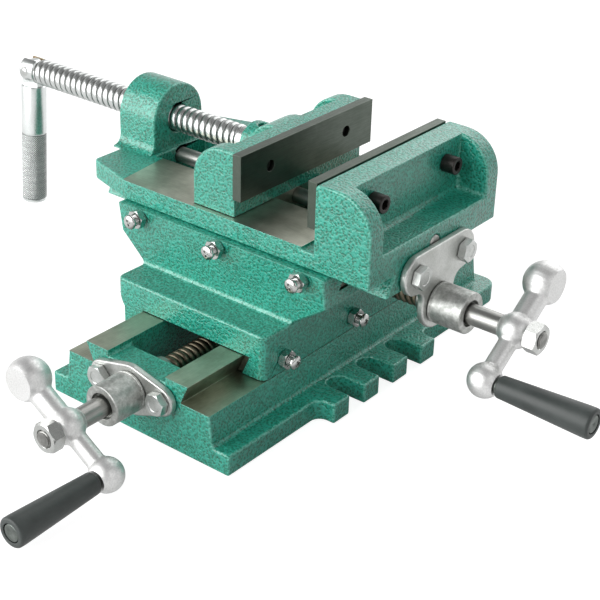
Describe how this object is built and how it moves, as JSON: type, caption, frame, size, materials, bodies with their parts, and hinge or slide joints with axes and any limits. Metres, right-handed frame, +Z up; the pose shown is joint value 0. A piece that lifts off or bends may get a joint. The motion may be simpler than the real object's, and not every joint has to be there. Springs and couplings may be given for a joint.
{
  "type": "cross slide vise",
  "caption": "Cast iron drill press vise on two crossed dovetail slides, with ball cranks, ground jaw plates and a folding screw handle.",
  "frame": {"origin": "centre of the base's underside, on the web under the slides' crossing point, with both slides as the picture shows them", "axes": "+Z up from the table, +X along the jaw screw towards the fixed jaw and the upper crank, -Y towards the lower crank"},
  "size_m": [0.3733, 0.3207, 0.1234],
  "materials": {
    "green_enamel": "green hammered enamel on cast iron, glossy",
    "ground_plate": "dark ground steel with bright edges",
    "zinc_steel": "bright zinc plate",
    "turned_steel": "turned steel, lightly oiled",
    "satin_aluminium": "cast and tumbled, satin",
    "black_oxide": "black oxide",
    "gib_steel": "milled strip, dull",
    "bronze": "machined bronze",
    "grip_plastic": "dark moulded plastic, matt"
  },
  "bodies": {
    "base": {"base_casting": "green_enamel", "lower_bracket": "satin_aluminium", "lower_bracket_bolt_left": "zinc_steel", "lower_bracket_bolt_right": "zinc_steel"},
    "saddle": {"saddle_casting": "green_enamel", "lower_gib": "gib_steel", "upper_gib": "gib_steel", "lower_nut": "bronze", "upper_nut": "bronze", "lower_nut_screw": "black_oxide", "upper_nut_screw": "black_oxide", "lower_gib_screw_1": "zinc_steel", "lower_gib_screw_2": "zinc_steel", "lower_gib_screw_3": "zinc_steel", "lower_gib_nut_1": "zinc_steel", "lower_gib_nut_2": "zinc_steel", "lower_gib_nut_3": "zinc_steel", "upper_gib_screw_1": "zinc_steel", "upper_gib_screw_2": "zinc_steel", "upper_gib_screw_3": "zinc_steel", "upper_gib_nut_1": "zinc_steel", "upper_gib_nut_2": "zinc_steel", "upper_gib_nut_3": "zinc_steel"},
    "vise": {"vise_body": "green_enamel", "upper_bracket": "satin_aluminium", "upper_bracket_bolt_left": "zinc_steel", "upper_bracket_bolt_right": "zinc_steel", "guide_rod": "turned_steel", "fixed_jaw_plate": "ground_plate", "fixed_plate_screw_left": "black_oxide", "fixed_plate_screw_right": "black_oxide"},
    "lower_crank": {"lower_cross_screw": "turned_steel", "lower_dial": "satin_aluminium", "lower_dial_set_screw": "black_oxide", "lower_crank_arm": "satin_aluminium", "lower_crank_nut": "zinc_steel", "lower_grip_spindle": "turned_steel"},
    "lower_grip": {"lower_crank_grip": "grip_plastic"},
    "upper_crank": {"upper_cross_screw": "turned_steel", "upper_dial": "satin_aluminium", "upper_dial_set_screw": "black_oxide", "upper_crank_arm": "satin_aluminium", "upper_crank_nut": "zinc_steel", "upper_grip_spindle": "turned_steel"},
    "upper_grip": {"upper_crank_grip": "grip_plastic"},
    "jaw": {"moving_jaw": "green_enamel", "moving_jaw_plate": "ground_plate", "jaw_set_screw": "black_oxide", "moving_plate_screw_left": "black_oxide", "moving_plate_screw_right": "black_oxide"},
    "screw": {"jaw_screw": "zinc_steel", "handle_pin": "zinc_steel"},
    "handle": {"jaw_handle": "zinc_steel"}
  },
  "joints": [
    {"name": "saddle_slide", "type": "slide", "parent": "base", "child": "saddle", "axis": [0, 1, 0], "range_m": [-0.036, 0.042]},
    {"name": "lower_crank_turn", "type": "hinge", "parent": "base", "child": "lower_crank", "pos_m": [0, -0.1505, 0.0243], "axis": [0, -1, 0], "range_deg": [-3704, 4322]},
    {"name": "lower_grip_spin", "type": "hinge", "parent": "lower_crank", "child": "lower_grip", "pos_m": [0.02342, -0.1505, 0.00932], "axis": [0, -1, 0], "continuous": true},
    {"name": "vise_slide", "type": "slide", "parent": "saddle", "child": "vise", "axis": [1, 0, 0], "range_m": [-0.02, 0.06]},
    {"name": "upper_crank_turn", "type": "hinge", "parent": "vise", "child": "upper_crank", "pos_m": [0.1321, 0, 0.0573], "axis": [1, 0, 0], "range_deg": [-2059, 6173]},
    {"name": "upper_grip_spin", "type": "hinge", "parent": "upper_crank", "child": "upper_grip", "pos_m": [0.1321, -0.02315, 0.04192], "axis": [1, 0, 0], "continuous": true},
    {"name": "jaw_slide", "type": "slide", "parent": "vise", "child": "jaw", "axis": [1, 0, 0], "range_m": [-0.038, 0.038]},
    {"name": "jaw_screw_turn", "type": "hinge", "parent": "jaw", "child": "screw", "pos_m": [-0.1799, 0, 0.1054], "axis": [1, 0, 0], "range_deg": [-3420, 3420]},
    {"name": "handle_fold", "type": "hinge", "parent": "screw", "child": "handle", "pos_m": [-0.1799, 0, 0.1054], "axis": [0, 0.9974, -0.0715], "range_deg": [-8, 188]}
  ],
  "couplings": [
    {"joint": "lower_crank_turn", "follows": "saddle_slide", "rad_per_m": 1795.2},
    {"joint": "upper_crank_turn", "follows": "vise_slide", "rad_per_m": 1795.2},
    {"joint": "jaw_slide", "follows": "jaw_screw_turn", "m_per_rad": 0.00063662}
  ]
}
